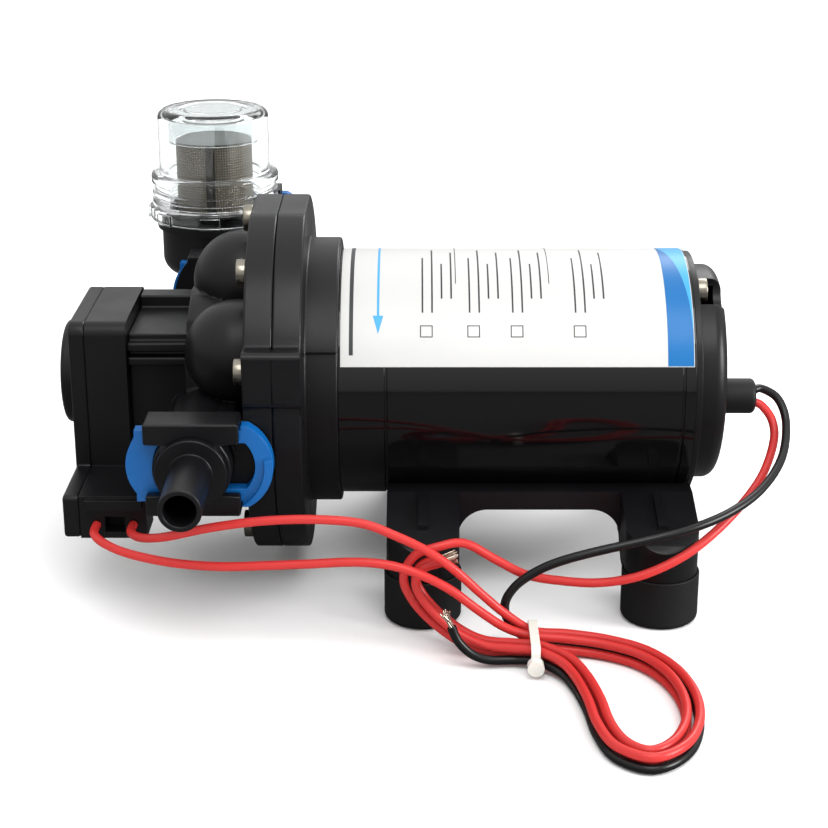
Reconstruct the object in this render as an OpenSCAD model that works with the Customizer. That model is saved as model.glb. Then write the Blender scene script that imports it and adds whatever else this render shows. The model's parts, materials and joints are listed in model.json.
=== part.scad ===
// Caravan water pump: 12 V diaphragm pump with strainer, pressure switch and loose leads.
// Frame: origin on the floor in the middle of the four foot holes, X along the motor to its tail,
// Y away from the outlet side, Z up. Millimetres.

/* [Motor] */
// Height of the motor axis above the floor
axis_h = 62; // [60:0.5:70]
// Outer diameter of the motor can
can_d = 77.4; // [74:0.2:79]
// Wall of the motor can
can_wall = 2; // [1.5:0.1:2.5]
// From the middle of the feet to the front end of the can
can_front = 61.5; // [58:0.5:66]
// Length of the motor can
can_l = 107.5; // [100:0.5:116]
// Diameter of the motor shaft
shaft_d = 8; // [6:0.5:9]
// Outer diameter of the shaft bearings
bearing_d = 22; // [20:0.5:24]
// Width of the shaft bearings
bearing_w = 7; // [5:0.5:7]
// Diameter of the tail cap
tail_cap_d = 68; // [64:0.5:70]
// Length of the tail cap
tail_cap_l = 8.5; // [7.5:0.5:11]
// Diameter of the cable gland
gland_d = 11; // [9:0.5:12]
// Length of the cable gland outside the tail cap
gland_l = 11; // [8:0.5:16]
// Width of the label around the can, in degrees
label_arc = 100; // [70:5:120]

/* [Base] */
// Foot hole spacing along the motor
foot_dx = 72; // [66:1:76]
// Foot hole spacing across the motor
foot_dy = 100; // [96:1:106]
// Diameter of the rubber feet
foot_d = 23.4; // [22:0.2:26]
// Height of the rubber feet under the legs
foot_h = 13.5; // [11:0.5:15]
// Diameter of the foot screw holes
foot_hole_d = 5.2; // [4.5:0.1:6]
// Width of the legs
leg_w = 22; // [20:0.5:22.5]
// Thickness of the motor cradle
cradle_t = 5.3; // [4:0.1:6]

/* [Pump head] */
// Diameter of the clamped flanges
flange_d = 112; // [110:0.5:113]
// Thickness of each flange
flange_t = 8.5; // [8:0.1:10]
// Height of the flange's flat top above the motor axis
flange_top = 54.5; // [54:0.1:55.5]
// Diameter of the drive housing behind its flange
adapter_d = 85; // [82:0.5:90]
// Length of the drive housing behind its flange
adapter_l = 10; // [9.5:0.5:14]
// Radius of each pump dome
dome_r = 16; // [14:0.5:16.5]
// Wall of the domes
dome_wall = 2.5; // [2:0.1:3]
// Radius of the circle of domes
dome_circle_r = 29; // [28:0.5:30]
// Radius of the flange screws' circle
screw_circle_r = 50; // [49.5:0.1:50.5]
// Diameter of the flange screws
screw_d = 5; // [4:0.1:5]
// Diameter of the flange screws' heads
screw_head_d = 8.5; // [7:0.1:8.6]

/* [Ports] */
// How far the ports lie below and above the motor axis
port_drop = 8.5; // [7:0.5:10]
// Bore of the port sockets
port_bore_d = 16; // [15:0.2:17]
// Diameter of the hose tails
hose_tail_d = 12.4; // [10:0.2:13]
// Length of the hose tails
hose_tail_l = 27; // [20:1:32]
// Width of the socket rails
rail_w = 27.5; // [26:0.5:30]
// Thickness of the slide clips
clip_t = 4.5; // [4:0.1:5]

/* [Strainer] */
// Outer diameter of the strainer bowl
bowl_d = 39; // [38:0.2:39.6]
// Outer diameter of the clear cap
cap_d = 39.2; // [38.6:0.2:40]
// Outer diameter of the cap's collar
collar_d = 46.4; // [45:0.2:48]
// Height of the cap above its collar
cap_h = 22.2; // [18:0.2:28]
// Wall of the clear cap
cap_wall = 3; // [2.5:0.1:3]
// Diameter of the screen
screen_d = 27; // [22:0.5:28]

/* [Pressure switch] */
// Thickness of the switch case
switch_case_t = 12.5; // [11:0.5:16]
// Thickness of the switch cover
switch_cover_t = 5; // [4:0.5:6]
// Diameter of the round end cap
switch_round_d = 32.8; // [30:0.2:36]
// Thickness of the round end cap
switch_round_t = 5; // [4:0.5:6]

/* [Leads] */
// Diameter of the leads
lead_d = 2.7; // [2.4:0.1:2.9]

/* [Hidden] */
$fn = 64;

// Gap between pieces that turn or slide on each other
run_gap = 0.05;
// Gap between pieces that are only seated
seat_gap = 0.02;
// Gap around pieces that pass each other
clear = 0.3;
// Overshoot of a cut past the face it cuts
over = 1;

// Stations along X
x_can = -can_front;
x_tail = x_can + can_l;
x_flange = x_can - adapter_l;
x_seam = x_flange - flange_t;
x_face = x_seam - flange_t;

// Motor
can_r = can_d / 2;
can_in_r = can_r - can_wall;
shaft_r = shaft_d / 2;
bearing_r = bearing_d / 2;
bell_t = 2;
bell_r = can_r - 0.5;
bell_spigot_l = 5;
hub_wall = 3;
bell_rim = 3;
shaft_gap = 1;
bell_hub_l = bearing_w + 0.5;
x_cap = x_tail + bell_t;
x_end = x_cap + tail_cap_l;
tail_cap_r = tail_cap_d / 2;
tail_cap_wall = 2.5;
tail_edge_r = 4;
groove_w = 0.8;
groove_depth = 0.4;
groove_from_tail = 4;
groove_from_front = 13.9;
bolt_d = 4;
bolt_head_d = 8;
bolt_head_h = 3;
bolt_circle_r = can_in_r - bolt_d / 2 - 1;
bolt_angle = 65;
bolt_notch_r = bolt_head_d / 2 + 2;
gland_y = -16;
gland_drop = 3;
gland_bore_r = 4;
x_bearing_front = x_can - 3.5;
x_bearing_rear = x_tail - 4;
armature_r = 28;
armature_l = can_l - 51.5;
x_armature = x_can + 26;
slot_count = 12;
slot_w = 3;
slot_depth = 7;
winding_r = 24;
winding_l = 6;
commutator_r = 10;
commutator_l = 10;
x_commutator = x_armature + armature_l + winding_l + 1;
brush_w = 6;
brush_l = 12;
holder_t = 2;
magnet_t = 5;
magnet_l = armature_l + 18;
magnet_half_arc = 50;
label_t = 0.2;
label_low_angle = 20;
label_margin = 0.7;

// Base
foot_r = foot_d / 2;
foot_lip_h = 2;
pad_r = leg_w / 2;
cradle_r = can_r + cradle_t;
cradle_l = foot_dx + leg_w;
cradle_top = axis_h - 28;
beam_y = 34;
beam_t = 6;
beam_h = 6;
arch_r = 9;
leg_break = 25;
hole_depth = 20;
leg_rib_w = 3;
leg_rib_t = 1.6;

// Pump head
flange_r = flange_d / 2;
ear_w = 17;
ear_angle = 18;
ear_out = flange_r + 1;
adapter_r = adapter_d / 2;
hood_low = 18;
hood_out = 1.2;
spigot_l = 5;
spigot_wall = 3.4;
cavity_r = 41;
cavity_l = 6;
drive_room_r = 31;
drive_wall = 5;
screw_count = 10;
screw_first = 18;
screw_head_h = 3;
screw_l = 2 * flange_t - 2;
dome_count = 5;
dome_first = 30;
dome_neck = 4;
head_hub_r = 27;
head_hub_l = 20;
front_wall = 2.5;
plenum_r = 10;
hub_front_wall = 4;
gallery_in = 7.5;
gallery_w = 5;
passage_r = 4.5;
passage_wall = 3;
outlet_neck_in = 6;
inlet_passage_l = 12;
sense_r = 2;
sense_l = 40;
valve_r = 45;
diaphragm_t = 1.6;
valve_t = flange_t - diaphragm_t - front_wall;
chamber_r = 11;
chamber_depth = 3;
piston_r = 8.5;
piston_t = 2;
pad_out_r = 10;
pad_t = 2.5;
plate_r = 22;
plate_t = 1.9;
cup_wall = 4;
x_plate = x_seam + pad_t;
eccentric_r = 9;
x_eccentric = x_plate + 2;
eccentric_l = 8.5;
flap_r = 4.5;
flap_t = 0.6;
valve_stem_r = 2.9;
valve_port_r = 3;
ring_t = 5;
ring_w = 7;

// Ports
port_x = x_face - 14.3;
port_bore_r = port_bore_d / 2;
outlet_z = axis_h - port_drop;
inlet_z = axis_h + port_drop;
port_wall = 3.5;
socket_r = port_bore_r + port_wall;
port_stand = 10;
socket_out = flange_r + port_stand;
socket_in = 20;
block_left = 8;
block_right = 10.8;
block_in = 25;
block_short = 14;
block_half = 10;
spigot_in = 20;
bore_in = socket_out - 26;
rail_l = 12;
rail_in = 7.8;
rail_out = 14.2;
clip_from_mouth = 4;
arm_in = 7.1;
arm_out = 11;
wing_r = 14;
wing_half = 12.3;
wing_off_left = 5.6;
wing_off_right = 9.3;
wing_scoop_x = 7.5;
wing_scoop_r = 10.5;
wing_lip_w = 2.6;
wing_lip_h = 1.2;
wing_lip_top = 2;
backing_r = 18.4;
spigot_r = port_bore_r - 0.1;
groove_r = arm_in - clear;
collar_r = port_bore_r + 2.5;
collar_t = 2.8;
tail_r = hose_tail_d / 2;
tail_bore_r = tail_r - 1.6;
seal_minor_r = 1.05;
seal_major_r = port_bore_r - seal_minor_r - 0.05;
seal_back = 3;
seal_groove_w = 2.6;

// Strainer
strainer_x = port_x - 7.2;
strainer_y = socket_out + 26;
bowl_r = bowl_d / 2;
bowl_low = inlet_z - 0.5;
bowl_wall = 3;
bowl_top = bowl_low + 22.4;
bowl_edge_r = 6;
boss_past = 2;
hose_socket_in = 8;
shoulder_z = bowl_low + 20;
shoulder_t = 3;
shoulder_r = bowl_r + 1.5;
thread_r = bowl_r + 0.5;
thread_h = 1.2;
hose_z = bowl_low + 8;
hose_mouth = strainer_y + 42;
collar_h = 16.5;
thread_depth = 5;
collar_neck = 1.8;
collar_foot_h = 5;
collar_foot_edge = 1;
collar_rim_h = 3.4;
collar_rim_in = 0.6;
collar_rim_edge = 1.4;
ridge_h = 1.5;
ridge_step = 2.7;
ridge_out = 1;
cap_low = shoulder_z + clear;
collar_top = cap_low + collar_h;
cap_top = collar_top + cap_h;
cap_r = cap_d / 2;
cap_edge_r = 3;
collar_out_r = collar_d / 2;
collar_in_r = thread_r + clear;
lug_count = 8;
lug_w = 7;
lug_out = 0.8;
lug_h = collar_foot_h - collar_foot_edge - 0.2;
mark_out_r = cap_r - 7.4;
mark_w = 2;
mark_depth = 0.8;
screen_r = screen_d / 2;
screen_t = 0.6;
screen_below = 7.5;
screen_end_t = 1.2;
ring_hold = 0.5;
ring_wall = 1.5;
screen_seam_w = 3;
strainer_seal_r = 1.4;

// Pressure switch
x_neck_end = x_face - 38;
neck_half = 20;
neck_top = 18.5;
neck_low = -20;
top_rib_y = [8, 16];
top_rib_h = 4;
side_rib_z = [9, 13.5];
side_rib_h = 2.8;
side_rib_out = 3;
x_case = x_neck_end - switch_case_t;
x_cover = x_case - switch_cover_t;
x_round = x_cover - switch_round_t;
case_front = -25;
case_back = 20;
case_top = axis_h + 23;
case_low = 25.5;
ledge_front = -50;
ledge_top = 39;
ledge_block_l = 14;
ledge_block_past = 4;
terminal_depth = 8;
case_edge_r = 4;
case_wall = 3;
hood_y = 2.5;
hood_z = 35.5;
hood_h = 3;
hood_past = 3;
slot_h = 5;
slot_half = 3;
slot_in = 6;
slot_z = case_low + 2;
plunger_r = 5;
plunger_l = 7;
snap_w = 11;
snap_h = 16;
case_floor = 6;
screw_slot_w = 1;
adjuster_r = 3;
spring_r = 4.2;
spring_wall = 1;
switch_round_r = switch_round_d / 2;

// Leads: where each leaves its terminal, then points chosen by hand down to the hank
lead_r = lead_d / 2;
terminal_low = [-134, ledge_front, 30];
terminal_high = [-123, ledge_front, 30];
terminal_red = [x_end + gland_l, gland_y, axis_h - gland_drop - 2];
terminal_black = [x_end + gland_l, gland_y, axis_h - gland_drop + 2];
low_route = [[-134, -55, 29], [-130, -60, 28], [-122, -65, 27], [-109, -69, 26], [-95, -71.5, 26],
    [-81, -73, 27], [-68, -74, 28], [-56, -75, 29], [-46, -76, 28.5], [-37, -77, 26], [-28, -77, 21],
    [-20, -76.8, 14.5], [-12, -76.6, 8.8]];
high_route = [[-123, -55, 29.5], [-119, -60, 30], [-111, -66, 33], [-98, -70, 37.5], [-83, -72, 40.5],
    [-68, -73, 41.5], [-54, -73.5, 40.5], [-44, -74.5, 37], [-35, -75, 32.5], [-27, -75, 26.5],
    [-19, -74.5, 18.5], [-12, -73.6, 11.8]];
red_route = [[70, -17, 56], [73, -19, 52], [73, -24, 47], [68, -36, 41], [60, -48, 36], [50, -58, 30.5],
    [40, -64, 25.5], [28, -66, 20.5], [16, -65.5, 18], [4, -65, 18.5], [-6, -65, 20.5],
    [-15, -65.2, 25.5], [-24, -66.2, 31]];
black_route = [[70, -15, 61], [75, -16, 58], [77, -21, 52], [74, -33, 45], [66, -46, 40], [55, -57, 37],
    [42, -65, 35], [28, -69, 33], [14, -70, 30], [4, -70, 27], [-3, -69.5, 23.5], [-9, -69, 18.5],
    [-12, -69.5, 13], [-10.5, -70.6, 7.4]];
// The hank's middle line: past the tie, round the loop on the floor, back past the tie, up the raised loop
hank_line = [[-4, -75.5, 4.7], [6, -76, 4], [17, -78.5, 3.5], [27, -85, 3.5], [34, -96, 3.5],
    [37, -110, 3.5], [36, -124, 3.5], [31, -136, 3.5], [23, -142, 3.5], [15.5, -137, 3.5],
    [12, -126, 3.5], [10.5, -112, 3.5], [8, -99, 3.5], [4, -90.5, 4.2], [-3, -84.8, 4.7],
    [-10, -82.3, 4.2], [-18, -80, 3.8], [-25, -77, 5.5], [-32, -73.5, 9.5], [-37.5, -71.2, 15],
    [-40, -70.4, 21], [-37.5, -70, 26.5], [-31.5, -70, 29]];
raised_from = 16;
lane = 1.76;
bare_l = 6;
bare_r = 0.85;
red_end = [[-12, -76.6, 3.5]];
black_end = [[-10, -84.2, 2.3], [-17, -84.8, 2.6], [-22, -85.2, 4.6], [-26, -85, 8.6], [-28, -84.4, 13]];

// Points of the motor circle: angle from the front, turning up
function ring_y(angle, r) = -r * cos(angle);
function ring_z(angle, r) = axis_h + r * sin(angle);

// A turned piece on the motor axis: children are its half section, radius by length
module turned(x) translate([x, 0, axis_h]) rotate([0, 90, 0]) rotate_extrude() children();
module rod_x(r, x, l) translate([x, 0, axis_h]) rotate([0, 90, 0]) cylinder(r = r, h = l);
module rod_at(angle, ring, r, x, l)
    translate([x, ring_y(angle, ring), ring_z(angle, ring)]) rotate([0, 90, 0]) cylinder(r = r, h = l);
module rod_y(x, z, r, y, l) translate([x, y, z]) rotate([-90, 0, 0]) cylinder(r = r, h = l);
module box(x0, x1, y0, y1, z0, z1) translate([x0, y0, z0]) cube([x1 - x0, y1 - y0, z1 - z0]);
// An outline in Y and Z, pulled along X
module slab_x(x, l) translate([x, 0, 0]) rotate([90, 0, 90]) linear_extrude(l) children();
// A rectangle with round corners
module round_rect(x0, y0, x1, y1, r) {
    translate([x0 + r, y0]) square([x1 - x0 - 2 * r, y1 - y0]);
    translate([x0, y0 + r]) square([x1 - x0, y1 - y0 - 2 * r]);
    for (x = [x0 + r, x1 - r], y = [y0 + r, y1 - r]) translate([x, y]) circle(r);
}
// A half section with its outer far corner rounded
module round_end(r0, r1, l, edge) {
    translate([r0, 0]) square([r1 - r0, l - edge]);
    translate([r0, 0]) square([r1 - r0 - edge, l]);
    translate([r1 - edge, l - edge]) circle(edge);
}

// Base: a cradle under the can with four splayed legs
module leg_outline(s) polygon([[s * 18, cradle_top - 12], [s * 20, cradle_top - 8], [s * beam_y, cradle_top],
    [s * (foot_dy / 2 + pad_r - 2), leg_break + 2], [s * (foot_dy / 2 + pad_r), leg_break],
    [s * (foot_dy / 2 + pad_r), foot_h], [s * (foot_dy / 2 - pad_r), foot_h],
    [s * (foot_dy / 2 - 20), foot_h + 6.5]]);
// The web that rounds the corner between a leg and the beam
module arch_corner(sx, sy)
    translate([sx * (foot_dx - leg_w) / 2, sy > 0 ? beam_y : beam_t - beam_y, cradle_top - beam_h])
    rotate([90, 0, 0]) linear_extrude(beam_t) mirror([sx > 0 ? 1 : 0, 0]) difference() {
        translate([-over, -arch_r]) square([arch_r + over, arch_r + over]);
        translate([arch_r, -arch_r]) circle(arch_r);
    }
module base_bracket() color([0.09, 0.09, 0.1]) difference() {
    union() {
        difference() {
            rod_x(cradle_r, -cradle_l / 2, cradle_l);
            box(-cradle_l, cradle_l, -cradle_r - over, cradle_r + over, cradle_top, axis_h + cradle_r + over);
        }
        for (sy = [-1, 1])
            box(-foot_dx / 2, foot_dx / 2, sy > 0 ? beam_y - beam_t : -beam_y,
                sy > 0 ? beam_y : beam_t - beam_y,
                cradle_top - beam_h, cradle_top);
        for (sx = [-1, 1], sy = [-1, 1]) {
            arch_corner(sx, sy);
            intersection() {
                slab_x(sx * foot_dx / 2 - leg_w / 2, leg_w) leg_outline(sy);
                union() {
                    translate([sx * foot_dx / 2, sy * foot_dy / 2, foot_h]) cylinder(r = pad_r, h = axis_h);
                    box(sx * foot_dx / 2 - leg_w / 2, sx * foot_dx / 2 + leg_w / 2,
                        min(0, sy * foot_dy / 2), max(0, sy * foot_dy / 2), foot_h, axis_h);
                }
            }
            intersection() {
                slab_x(sx * foot_dx / 2 - leg_rib_w / 2, leg_rib_w) translate([0, leg_rib_t]) leg_outline(sy);
                box(-cradle_l, cradle_l, -foot_dy / 2 - 2, foot_dy / 2 + 2, leg_break - 2, cradle_top);
            }
        }
    }
    rod_x(can_r + seat_gap, -cradle_l, 2 * cradle_l);
    for (sx = [-1, 1], sy = [-1, 1]) translate([sx * foot_dx / 2, sy * foot_dy / 2, 0]) {
        translate([0, 0, -over]) cylinder(d = foot_hole_d, h = hole_depth + over);
        translate([0, 0, foot_h - over]) difference() {
            cylinder(r = foot_r + clear, h = foot_lip_h + over + clear);
            cylinder(r = pad_r, h = foot_lip_h + over + clear);
        }
    }
}
module rubber_foot(sx, sy) color([0.06, 0.06, 0.065])
    translate([sx * foot_dx / 2, sy * foot_dy / 2, 0]) difference() {
        union() {
            rotate_extrude() mirror([0, 1]) translate([0, -foot_h]) round_end(0, foot_r, foot_h, 2);
            translate([0, 0, foot_h - over]) cylinder(r = foot_r, h = foot_lip_h + over);
        }
        translate([0, 0, -over]) cylinder(d = foot_hole_d, h = axis_h);
        translate([0, 0, foot_h]) cylinder(r = pad_r + seat_gap, h = axis_h);
    }
module foot_front_left() rubber_foot(-1, -1);
module foot_front_right() rubber_foot(1, -1);
module foot_rear_left() rubber_foot(-1, 1);
module foot_rear_right() rubber_foot(1, 1);

// Motor
module motor_can() color([0.04, 0.04, 0.045]) difference() {
    rod_x(can_r, x_can, can_l);
    rod_x(can_in_r, x_can - over, can_l + 2 * over);
    for (x = [x_tail - groove_from_tail, x_can + groove_from_front])
        turned(x) translate([can_r - groove_depth, 0]) square([over, groove_w]);
}
module wedge(low, high) {
    reach = can_d;
    slab_x(x_can - reach, can_l + 2 * reach) translate([0, axis_h])
        polygon([[0, 0], for (a = [low : (high - low) / 8 : high]) [-reach * cos(a), reach * sin(a)]]);
}
module label() color([0.93, 0.93, 0.92]) intersection() {
    difference() {
        rod_x(can_r + label_t + seat_gap, x_can + label_margin, can_l - 2 * label_margin);
        rod_x(can_r + seat_gap, x_can - over, can_l + 2 * over);
    }
    wedge(label_low_angle, label_low_angle + label_arc);
}
module bolt_holes(x, l) for (a = [bolt_angle, bolt_angle + 180])
    rod_at(a, bolt_circle_r, bolt_d / 2 + 0.1, x, l);
module end_bell() color([0.1, 0.1, 0.11]) difference() {
    union() {
        rod_x(bell_r, x_tail, bell_t);
        rod_x(can_in_r - seat_gap, x_tail - bell_spigot_l, bell_spigot_l + over);
        rod_x(bearing_r + hub_wall, x_bearing_rear - 0.5, bell_hub_l + 0.5);
    }
    difference() {
        rod_x(can_in_r - bell_rim, x_tail - bell_spigot_l - over, bell_spigot_l + over);
        rod_x(bearing_r + hub_wall, x_bearing_rear - 0.5, bell_hub_l + 0.5);
    }
    rod_x(bearing_r + seat_gap, x_bearing_rear, bearing_w + 2 * over);
    rod_x(shaft_r + shaft_gap, x_bearing_rear - 2, 4);
    bolt_holes(x_tail - bell_spigot_l - over, bell_spigot_l + bell_t + 2 * over);
}
module rear_cap() color([0.07, 0.07, 0.075]) difference() {
    turned(x_cap) round_end(0, tail_cap_r, tail_cap_l, tail_edge_r);
    turned(x_cap - over) square([tail_cap_r - tail_cap_wall, tail_cap_l - tail_cap_wall + over]);
    for (a = [bolt_angle, bolt_angle + 180])
        rod_at(a, bolt_circle_r, bolt_notch_r, x_cap - over, tail_cap_l + 2 * over);
    translate([x_cap, gland_y, axis_h - gland_drop]) rotate([0, 90, 0])
        cylinder(d = gland_d - 1.6, h = tail_cap_l + over);
}
module motor_bolts() color([0.75, 0.74, 0.7]) for (a = [bolt_angle, bolt_angle + 180]) {
    rod_at(a, bolt_circle_r, bolt_d / 2, x_can, can_l + bell_t + 1);
    rod_at(a, bolt_circle_r, bolt_head_d / 2, x_cap, bolt_head_h);
}
module cable_gland() color([0.05, 0.05, 0.055]) translate([x_end, gland_y, axis_h - gland_drop])
    rotate([0, 90, 0]) difference() {
        union() {
            rotate_extrude() round_end(0, gland_d / 2, gland_l, 1.5);
            translate([0, 0, -tail_cap_wall])
                cylinder(d = gland_d - 1.6 - 2 * seat_gap, h = tail_cap_wall + over);
        }
        translate([0, 0, -tail_cap_l]) cylinder(r = gland_bore_r, h = tail_cap_l + gland_l - 2);
        for (z = [-2, 2]) translate([z, 0, 0]) cylinder(r = lead_r + seat_gap, h = gland_l + over);
    }
module bearing(x) color([0.7, 0.7, 0.72]) difference() {
    rod_x(bearing_r, x, bearing_w);
    rod_x(shaft_r + run_gap, x - over, bearing_w + 2 * over);
}
module front_bearing() bearing(x_bearing_front);
module rear_bearing() bearing(x_bearing_rear);
module motor_shaft() color([0.75, 0.75, 0.77])
    rod_x(shaft_r, x_eccentric, x_bearing_rear + bearing_w - x_eccentric);
module armature() color([0.45, 0.46, 0.5]) difference() {
    rod_x(armature_r, x_armature, armature_l);
    rod_x(shaft_r, x_armature - over, armature_l + 2 * over);
    for (i = [0 : slot_count - 1]) translate([x_armature - over, 0, axis_h])
        rotate([i * 360 / slot_count, 0, 0])
        translate([0, -slot_w / 2, armature_r - slot_depth])
            cube([armature_l + 2 * over, slot_w, slot_depth + over]);
}
module windings() color([0.72, 0.4, 0.2])
    for (x = [x_armature - winding_l, x_armature + armature_l]) difference() {
        rod_x(winding_r, x, winding_l);
        rod_x(shaft_r, x - over, winding_l + 2 * over);
    }
module commutator() color([0.75, 0.48, 0.28]) difference() {
    rod_x(commutator_r, x_commutator, commutator_l);
    rod_x(shaft_r, x_commutator - over, commutator_l + 2 * over);
}
x_holder = x_commutator + commutator_l / 2 + brush_w / 2;
module brush_holder() color([0.4, 0.3, 0.2]) difference() {
    rod_x(can_in_r - seat_gap, x_holder, holder_t);
    rod_x(commutator_r + 2, x_holder - over, holder_t + 2 * over);
    bolt_holes(x_holder - over, holder_t + 2 * over);
}
module brushes() color([0.15, 0.15, 0.15]) for (s = [-1, 1]) difference() {
    box(x_holder - brush_w, x_holder, s > 0 ? commutator_r - 2 : -commutator_r - brush_l,
        s > 0 ? commutator_r + brush_l : 2 - commutator_r, axis_h - brush_w / 2, axis_h + brush_w / 2);
    rod_x(commutator_r + run_gap, x_commutator - over, commutator_l + 2 * over);
}
module magnets() color([0.3, 0.3, 0.32]) for (a = [0, 180]) intersection() {
    difference() {
        rod_x(can_in_r - seat_gap, x_armature - (magnet_l - armature_l) / 2, magnet_l);
        rod_x(can_in_r - magnet_t, x_armature - magnet_l, 3 * magnet_l);
    }
    wedge(a - magnet_half_arc, a + magnet_half_arc);
}

// Flange outline in Y and Z: a disc with a flat top and an ear on each side
module flange_outline() difference() {
    translate([0, axis_h]) {
        circle(flange_r);
        ear_z = screw_circle_r * sin(ear_angle);
        for (s = [-1, 1]) round_rect(s > 0 ? ear_out - 14 : -ear_out, ear_z - ear_w / 2,
            s > 0 ? ear_out : 14 - ear_out, ear_z + ear_w / 2, 2);
    }
    translate([-flange_d, axis_h + flange_top]) square([2 * flange_d, flange_d]);
}
module screw_holes(x, l, r) for (i = [0 : screw_count - 1])
    rod_at(screw_first + i * 360 / screw_count, screw_circle_r, r, x, l);

// Drive housing: flange, adapter and front bearing seat in one moulding
module drive_housing() color([0.1, 0.1, 0.11]) difference() {
    union() {
        slab_x(x_seam, flange_t) flange_outline();
        rod_x(adapter_r - hood_out, x_flange - over, adapter_l + over);
        intersection() {
            rod_x(adapter_r, x_flange - over, adapter_l + over);
            box(x_flange - over, x_can, -adapter_r, adapter_r, axis_h + hood_low, axis_h + adapter_r);
        }
        rod_x(can_in_r - seat_gap, x_can - over, spigot_l + over);
    }
    rod_x(cavity_r, x_seam - over, cavity_l + over);
    rod_x(drive_room_r, x_seam - over, flange_t + adapter_l - drive_wall + over);
    difference() {
        rod_x(can_in_r - spigot_wall, x_can, spigot_l + over);
        rod_x(bearing_r + hub_wall, x_can - over, spigot_l + 3 * over);
    }
    rod_x(bearing_r + seat_gap, x_bearing_front, spigot_l + adapter_l);
    rod_x(shaft_r + shaft_gap, x_seam, flange_t + adapter_l);
    bolt_holes(x_can - 4, spigot_l + 4 + over);
    screw_holes(x_seam - over, screw_l - flange_t + over, screw_d / 2);
}
module eccentric() color([0.72, 0.72, 0.74]) difference() {
    rod_x(eccentric_r, x_eccentric, eccentric_l);
    rod_x(shaft_r, x_eccentric - over, eccentric_l + 2 * over);
}
module wobble_bearing() color([0.7, 0.7, 0.72]) difference() {
    rod_x(eccentric_r + ring_t, x_eccentric + 1, ring_w);
    rod_x(eccentric_r + run_gap, x_eccentric, ring_w + 2 * over);
}
module wobble_plate() color([0.85, 0.84, 0.8]) difference() {
    union() {
        rod_x(plate_r, x_plate - over / 2, plate_t + over / 2);
        for (i = [0 : dome_count - 1])
            rod_at(dome_first + i * 360 / dome_count, dome_circle_r, pad_out_r, x_seam, pad_t);
        rod_x(eccentric_r + ring_t + cup_wall, x_plate, ring_w + 2);
    }
    rod_x(eccentric_r + ring_t + seat_gap, x_eccentric + 1, ring_w + 2);
    rod_x(eccentric_r + 1, x_seam, ring_w + pad_t + 2);
}
module diaphragm() color([0.12, 0.12, 0.12]) rod_x(valve_r, x_seam - diaphragm_t, diaphragm_t);
x_valve = x_seam - diaphragm_t - valve_t;
module pistons() color([0.85, 0.84, 0.8]) for (i = [0 : dome_count - 1])
    rod_at(dome_first + i * 360 / dome_count, dome_circle_r, piston_r, x_seam - diaphragm_t - piston_t,
        piston_t);
module valve_plate() color([0.8, 0.8, 0.78]) difference() {
    rod_x(valve_r, x_valve, valve_t);
    for (i = [0 : dome_count - 1]) {
        a = dome_first + i * 360 / dome_count;
        rod_at(a, dome_circle_r, chamber_r, x_seam - diaphragm_t - chamber_depth, chamber_depth + over);
        rod_at(a, dome_circle_r, valve_port_r, x_valve - over, valve_t);
        rod_at(a, plenum_r - 4, 1.8, x_valve - over, valve_t);
        translate([x_seam - diaphragm_t - piston_t, 0, axis_h]) rotate([-a, 0, 0])
            translate([0, -dome_circle_r, -2]) cube([piston_t + over, dome_circle_r - plenum_r + 4, 4]);
    }
}
module inlet_valves() color([0.2, 0.2, 0.2]) for (i = [0 : dome_count - 1]) {
    a = dome_first + i * 360 / dome_count;
    rod_at(a, dome_circle_r, flap_r, x_seam - diaphragm_t - chamber_depth, flap_t);
    rod_at(a, dome_circle_r, valve_stem_r, x_valve, valve_t - chamber_depth + 0.3);
}
module outlet_valve() color([0.2, 0.2, 0.2]) rod_x(plenum_r - 1, x_valve - 0.8, 0.8);

// A socket's rails, with the slots that its slide clips run in
module rails(z, s, mouth) {
    for (up = [-1, 1])
        box(port_x - rail_w / 2, port_x + rail_w / 2, s > 0 ? mouth - rail_l : -mouth,
            s > 0 ? mouth : rail_l - mouth,
            up > 0 ? z + rail_in : z - rail_out, up > 0 ? z + rail_out : z - rail_in);
    plate = mouth - clip_from_mouth - clip_t - clear;
    box(port_x - rail_w / 2, port_x + rail_w / 2, s > 0 ? mouth - rail_l : -plate,
        s > 0 ? plate : rail_l - mouth,
        z - rail_out, z + rail_out);
    translate([port_x, s > 0 ? plate : rail_l - mouth, z]) rotate([90, 0, 0])
        linear_extrude(plate - mouth + rail_l) intersection() {
            circle(backing_r);
            square(2 * [backing_r, rail_out], center = true);
        }
}
module rail_slots(z, s, mouth) {
    y = mouth - clip_from_mouth - clip_t - clear;
    for (up = [-1, 1])
        box(port_x - rail_w / 2 - over, port_x + rail_w / 2 + over,
            s > 0 ? y : -y - clip_t - 2 * clear, s > 0 ? y + clip_t + 2 * clear : -y,
            up > 0 ? z + arm_in - clear : z - arm_out - clear,
            up > 0 ? z + arm_out + clear : z - arm_in + clear);
}
module along_y(s, x, z, r, y, l) rod_y(x, z, r, s > 0 ? y : -y - l, l);

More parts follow.
